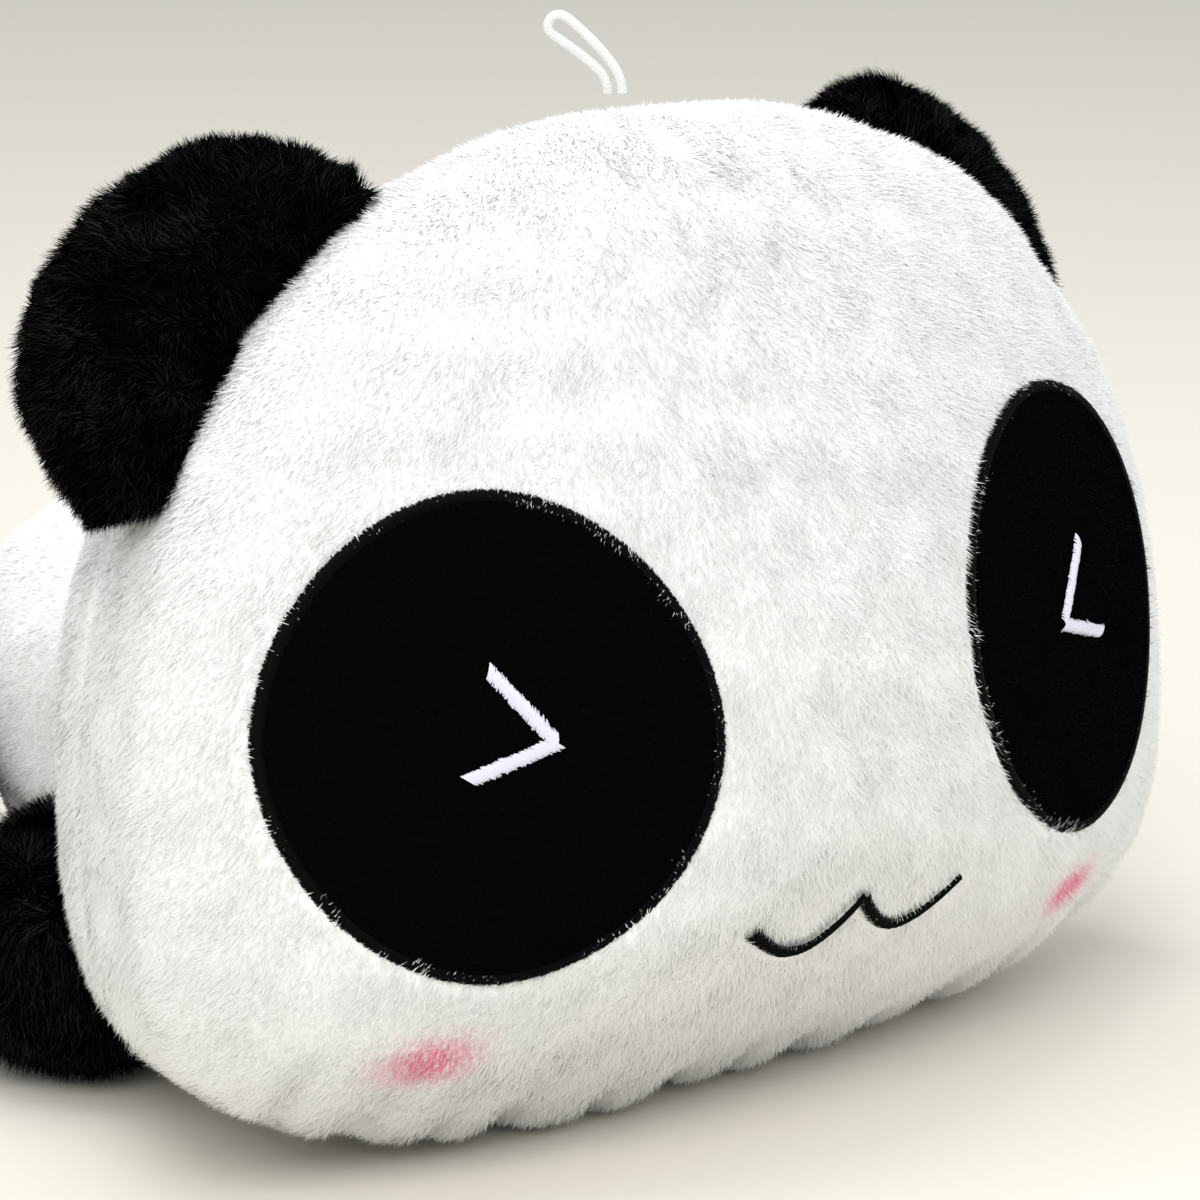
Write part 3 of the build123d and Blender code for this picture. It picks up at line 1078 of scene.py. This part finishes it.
@dataclass
class HangingLoop:
    """The white braided loop on the crown; the tack that holds its feet is hidden and not built."""

    diameter: float = 3.6 * MM
    length: float = 79.35 * MM
    route: tuple[tuple[float, float, float], ...] = (
        (0.00199, -0.18435, 0.36483),
        (0.00199, -0.18435, 0.37033),
        (-0.00352, -0.17972, 0.38043),
        (-0.01088, -0.17355, 0.38983),
        (-0.01501, -0.17008, 0.39403),
        (-0.01839, -0.16725, 0.39223),
        (-0.01884, -0.16686, 0.38743),
        (-0.01440, -0.17059, 0.38363),
        (-0.00674, -0.17702, 0.37623),
        (-0.00199, -0.18100, 0.36983),
        (-0.00199, -0.18100, 0.36483),
    )

    def build(self) -> None:
        """The cord along its route; the tack's CAD node is only hidden."""
        curve = bpy.data.curves.new("hang_loop_cord", "CURVE")
        curve.dimensions = "3D"
        curve.bevel_depth = self.diameter / 2.0
        curve.bevel_resolution = 5
        curve.resolution_u = 12
        curve.use_fill_caps = True
        spline = curve.splines.new("NURBS")
        spline.points.add(len(self.route) - 1)
        places = np.array([(*place, 1.0) for place in self.route], dtype=np.float32)
        spline.points.foreach_set("co", places.ravel())
        spline.order_u = 3
        spline.use_endpoint_u = True
        cord = put("hang_loop_cord", curve)
        curve.materials.append(WHITE_CORD.material())
        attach(cord, "head")
        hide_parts("hang_loop", "loop_tack")
        LOG.info("hang_loop_cord: %.1f mm long", self.length / MM)


# --------------------------------------------------------- torso, limbs, ears
@dataclass
class Stuffing:
    """A CAD node's form, blown up as cloth under its filling's pressure."""

    node: str
    swell: float  # how far a point may move, metres
    voxel: float = 5.0 * MM
    piece: Optional[bpy.types.Object] = None
    start: Optional[Array] = None

    def lay_out(self) -> None:
        """Copies the node's mesh, and remeshes it in even quads as a free cloth."""
        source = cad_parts[self.node]
        copy = put(f"{self.node}_cloth", source.data.copy())
        weld = copy.modifiers.new("weld", "WELD")
        weld.merge_threshold = 0.01 * MM
        remesh = copy.modifiers.new("even", "REMESH")
        remesh.mode = "VOXEL"
        remesh.voxel_size = self.voxel
        graph = bpy.context.evaluated_depsgraph_get()
        mesh = bpy.data.meshes.new_from_object(copy.evaluated_get(graph))
        bpy.data.objects.remove(copy)
        self.piece = put(f"{self.node}_cloth", mesh)
        self.start = points_of(mesh)
        cloth = self.piece.modifiers.new("cloth", "CLOTH")
        cloth.settings.use_pressure = True
        cloth.settings.uniform_pressure_force = 4.0
        cloth.settings.effector_weights.gravity = 0.0
        cloth.settings.quality = 4
        cloth.settings.tension_stiffness = 12.0
        cloth.settings.compression_stiffness = 12.0
        cloth.point_cache.frame_start = 1
        cloth.point_cache.frame_end = CLOTH_FRAMES

    def take(self) -> Skin:
        """The cloth as it stands now, each point moved no further than the swell.

        Returns:
            The skin; the cloth itself is removed.
        """
        graph = bpy.context.evaluated_depsgraph_get()
        blown = points_of(bpy.data.meshes.new_from_object(self.piece.evaluated_get(graph)))
        mesh = self.piece.data
        mesh.calc_loop_triangles()
        triangles = np.zeros(len(mesh.loop_triangles) * 3, dtype=np.int32)
        mesh.loop_triangles.foreach_get("vertices", triangles)
        triangles = triangles.reshape(-1, 3)
        moved = blown - self.start
        far = np.linalg.norm(moved, axis=1, keepdims=True)
        moved = moved * np.minimum(1.0, self.swell / np.maximum(far, 1e-9))
        bpy.data.objects.remove(self.piece)
        return smoothed(Skin(self.start + moved, triangles), 4)


def points_of(mesh: bpy.types.Mesh) -> Array:
    """A mesh's points, (N, 3)."""
    points = np.zeros(len(mesh.vertices) * 3, dtype=np.float32)
    mesh.vertices.foreach_get("co", points)
    return points.reshape(-1, 3).astype(float)


def smoothed(skin: Skin, times: int) -> Skin:
    """Draws each point half way to its neighbours' mean, then as far back out, so that nothing shrinks.

    Args:
        skin: the surface.
        times: how often.

    Returns:
        The smoothed surface.
    """
    points, triangles = skin.points, skin.triangles
    first = triangles.ravel()
    second = np.roll(triangles, 1, axis=1).ravel()
    count = sum(np.bincount(ends, minlength=len(points)) for ends in (first, second))[:, None]
    for _ in range(times):
        for share in (0.5, -0.52):
            total = np.stack(
                [
                    np.bincount(first, weights=points[second, k], minlength=len(points))
                    + np.bincount(second, weights=points[first, k], minlength=len(points))
                    for k in range(3)
                ],
                axis=1,
            )
            points = points + share * (total / count - points)
    return Skin(points, triangles)


@dataclass
class Ear:
    """A round black ear, sewn to the head along its root."""

    side: str
    centre: tuple[float, float, float] = (0.161, 0.025, 0.159)
    tilt: float = math.radians(54.0)
    lean: float = math.radians(24.0)
    power: float = 2.4  # of its outline; 2 is round
    sign: float = 1.0
    shift: tuple[float, float] = (0.0, 0.0)  # sewn a little further out, and along the head
    back: tuple[float, float] = (0.0, 0.0)  # further back, and for each metre out
    stuffing: Stuffing = field(init=False)

    def __post_init__(self) -> None:
        """Names its stuffing and its side."""
        self.sign = 1.0 if self.side == "left" else -1.0
        self.shift = (-0.012, 0.008) if self.side == "left" else (0.006, 0.0)
        self.back = (0.010, 0.12) if self.side == "left" else (0.0, 0.13)
        self.stuffing = Stuffing(f"ear_{self.side}_stuffing", 7.0 * MM)

    def build(self) -> None:
        """The stuffed skin drawn down to the head, and its long black pile."""
        skin = self.stuffing.take()
        out, along, ahead = self.axes()
        middle = np.array(HeadShape().centre) + np.array(self.centre) * np.array([self.sign, 1.0, 1.0])
        place = skin.points - middle
        reach, run, thick = place @ out, place @ along, place @ ahead
        size = np.maximum(np.hypot(reach, run), 1e-6)
        sides = (np.abs(reach) / size) ** self.power + (np.abs(run) / size) ** self.power
        square = sides ** (-1.0 / self.power)
        grown = 1.0 + (square - 1.0) * ease(size, 0.02, 0.07)
        foot = (1.0 - ease(reach, 0.014, 0.05)) * np.clip(1.0 - (run / 0.075) ** 2, 0.0, 1.0)
        lift = ease(-run, 0.055, 0.085) * np.maximum(0.012 - reach, 0.0)
        reach = reach * grown - foot * 14.0 * MM + lift + self.shift[0]
        run = run * grown + self.shift[1]
        skin.points = middle + reach[:, None] * out + run[:, None] * along + thick[:, None] * ahead
        skin.points[:, 1] += self.back[0] + self.back[1] * np.maximum(reach, 0.0)
        skin.refresh()
        skin.seam(thick, 7.0 * MM, 1.2 * MM, 0.4, 71)
        skin.push(0.6 * MM * waves(skin.points, 0.06, 73))
        name = f"ear_{self.side}"
        nodes = [f"{name}_{part}" for part in ("front_panel", "back_panel", "stuffing")]
        place_skin(f"{name}_plush", skin, name, BLACK_GROUND, nodes)
        growth = Growth(comb=lambda roots: unit(roots.points - middle) * 0.5 + np.array([0.0, 0.2, -0.5]))
        PileMaker(BLACK_PILE, growth, 0.72 * MM, 301).grow(f"{name}_pile", skin, name, Slot.BLACK)

    def axes(self) -> tuple[Array, Array, Array]:
        """The ear's directions: out from the head, along its root, and ahead square to both."""
        level, back = math.cos(self.lean), math.sin(self.lean)
        out = np.array([math.cos(self.tilt) * level * self.sign, back, math.sin(self.tilt) * level])
        along = np.array([-math.sin(self.tilt) * self.sign, 0.0, math.cos(self.tilt)])
        return out, along, np.cross(along, out) * self.sign


@dataclass
class Limb:
    """An arm or a leg: a thick black pad that lies on the floor."""

    kind: str
    side: str
    height: float = 95.0 * MM
    stuffing: Stuffing = field(init=False)

    def __post_init__(self) -> None:
        """Names its stuffing."""
        self.stuffing = Stuffing(f"{self.kind}_{self.side}_stuffing", 8.0 * MM)

    def build(self) -> None:
        """The stuffed skin drawn in at its side seam, and its long black pile."""
        skin = self.stuffing.take()
        skin.seam(skin.points[:, 2] - self.height / 2.0, 8.0 * MM, 2.5 * MM, 0.5, 83)
        skin.push(1.0 * MM * waves(skin.points, 0.06, 87))
        skin.rest(2.0 * MM)
        name = f"{self.kind}_{self.side}"
        nodes = [f"{name}_{part}" for part in ("top_panel", "under_panel", "stuffing")]
        place_skin(f"{name}_plush", skin, name, BLACK_GROUND, nodes)
        growth = Growth(comb=comb_towards(0.0, 0.0, -1.0))
        PileMaker(LIMB_PILE, growth, 0.95 * MM, 401).grow(f"{name}_pile", skin, name, Slot.BLACK)


@dataclass
class Torso:
    """The white body behind the head."""

    seam_height: float = 55.0 * MM
    stuffing: Stuffing = field(default_factory=lambda: Stuffing("torso_stuffing", 8.0 * MM, 6.0 * MM))

    def build(self) -> None:
        """The stuffed skin drawn in at its side seam, and its white pile."""
        skin = self.stuffing.take()
        skin.seam(skin.points[:, 2] - self.seam_height, 8.0 * MM, 3.0 * MM, 0.5, 93)
        skin.push(2.0 * MM * waves(skin.points, 0.09, 97))
        skin.rest(1.5 * MM)
        nodes = ("torso_back_panel", "torso_belly_panel", "torso_stuffing")
        place_skin("torso_plush", skin, "torso", WHITE_GROUND, nodes)
        growth = Growth(comb=comb_towards(0.0, 0.8, -0.6))
        PileMaker(WHITE_PILE, growth, 1.15 * MM, 501).grow("torso_pile", skin, "torso", Slot.WHITE)


# --------------------------------------------------------------------- studio
@dataclass
class Studio:
    """The plain floor, the soft light and the camera."""

    azimuth: float = math.radians(-40.117)
    elevation: float = math.radians(14.669)
    distance: float = 7.561 * 0.25
    lens: float = 152.57
    aim: tuple[float, float] = (-0.118 * 0.25, 0.248 * 0.25)
    target: tuple[float, float, float] = (0.0, -0.220, 0.117)

    def build(self) -> None:
        """Lays the floor, sets the lamps and stands the camera."""
        self.lay_floor()
        self.set_lamps()
        self.stand_camera()

    def lay_floor(self) -> None:
        """A wide plain pale floor."""
        reach = 6.0
        corners = reach * np.array([(-1.0, -1.0, 0.0), (1.0, -1.0, 0.0), (1.0, 1.0, 0.0), (-1.0, 1.0, 0.0)])
        mesh = write_mesh("floor", corners, np.array([[0, 1, 2, 3]]), 4)
        floor = put("floor", mesh)
        recipe = Recipe("pale_floor")
        recipe.shader.inputs["Base Color"].default_value = (0.8, 0.755, 0.67, 1.0)
        recipe.shader.inputs["Roughness"].default_value = 0.9
        mesh.materials.append(recipe.material)

    def set_lamps(self) -> None:
        """A large key from the upper left, a fill from the right, one above, an even sky, and plain tones."""
        world = bpy.data.worlds.new("studio_sky")
        bpy.context.scene.world = world
        world.use_nodes = True
        ground = world.node_tree.nodes["Background"]
        ground.inputs["Color"].default_value = (0.93, 0.97, 1.0, 1.0)
        ground.inputs["Strength"].default_value = 0.68
        self.hang_lamp("key", (-1.5, -1.4, 2.0), 1.6, 36.0)
        self.hang_lamp("fill", (1.6, -1.4, 1.2), 1.4, 9.0)
        self.hang_lamp("top", (-0.2, 0.4, 2.2), 1.6, 24.0)
        bpy.context.scene.view_settings.view_transform = "Standard"

    def hang_lamp(self, name: str, place: Sequence[float], size: float, power: float) -> None:
        """Hangs a square lamp that looks at the head.

        Args:
            name: the lamp's name.
            place: where it hangs.
            size: its side in metres.
            power: in watts.
        """
        light = bpy.data.lights.new(name, "AREA")
        light.size = size
        light.energy = power
        lamp = put(name, light)
        lamp.location = place
        towards = np.array((0.0, -0.15, 0.12)) - np.array(place)
        tip = math.atan2(math.hypot(towards[0], towards[1]), -towards[2])
        lamp.rotation_euler = (tip, 0.0, math.atan2(-towards[0], towards[1]))

    def stand_camera(self) -> None:
        """Stands the camera on its bearing, aimed beside the head's middle."""
        a, e = self.azimuth, self.elevation
        back = np.array([math.sin(a) * math.cos(e), -math.cos(a) * math.cos(e), math.sin(e)])
        right = np.array([math.cos(a), math.sin(a), 0.0])
        up = np.cross(back, right)
        aim = np.array(self.target) + right * self.aim[0] + up * self.aim[1]
        data = bpy.data.cameras.new("camera")
        data.lens = self.lens
        data.sensor_width = 36.0
        data.clip_end = 50.0
        camera = put("camera", data)
        camera.location = aim + back * self.distance
        camera.rotation_euler = (math.pi / 2.0 - e, 0.0, a)
        bpy.context.scene.camera = camera


def blow_up(stuffings: Sequence[Stuffing]) -> None:
    """Runs all the cloths together, from their first frame to their last."""
    for stuffing in stuffings:
        stuffing.lay_out()
    for number in range(1, CLOTH_FRAMES + 1):
        bpy.context.scene.frame_set(number)


def main() -> None:
    """Builds the panda and its studio, member by member."""
    logging.basicConfig(level=logging.INFO, format="%(name)s: %(message)s")
    torso = Torso()
    ears = [Ear(side) for side in ("left", "right")]
    limbs = [Limb(kind, side) for kind in ("arm", "leg") for side in ("left", "right")]
    members = [torso, *ears, *limbs]
    blow_up([member.stuffing for member in members])
    for member in members:
        member.build()
    Head().build()
    Studio().build()


if __name__ == "__main__":
    main()
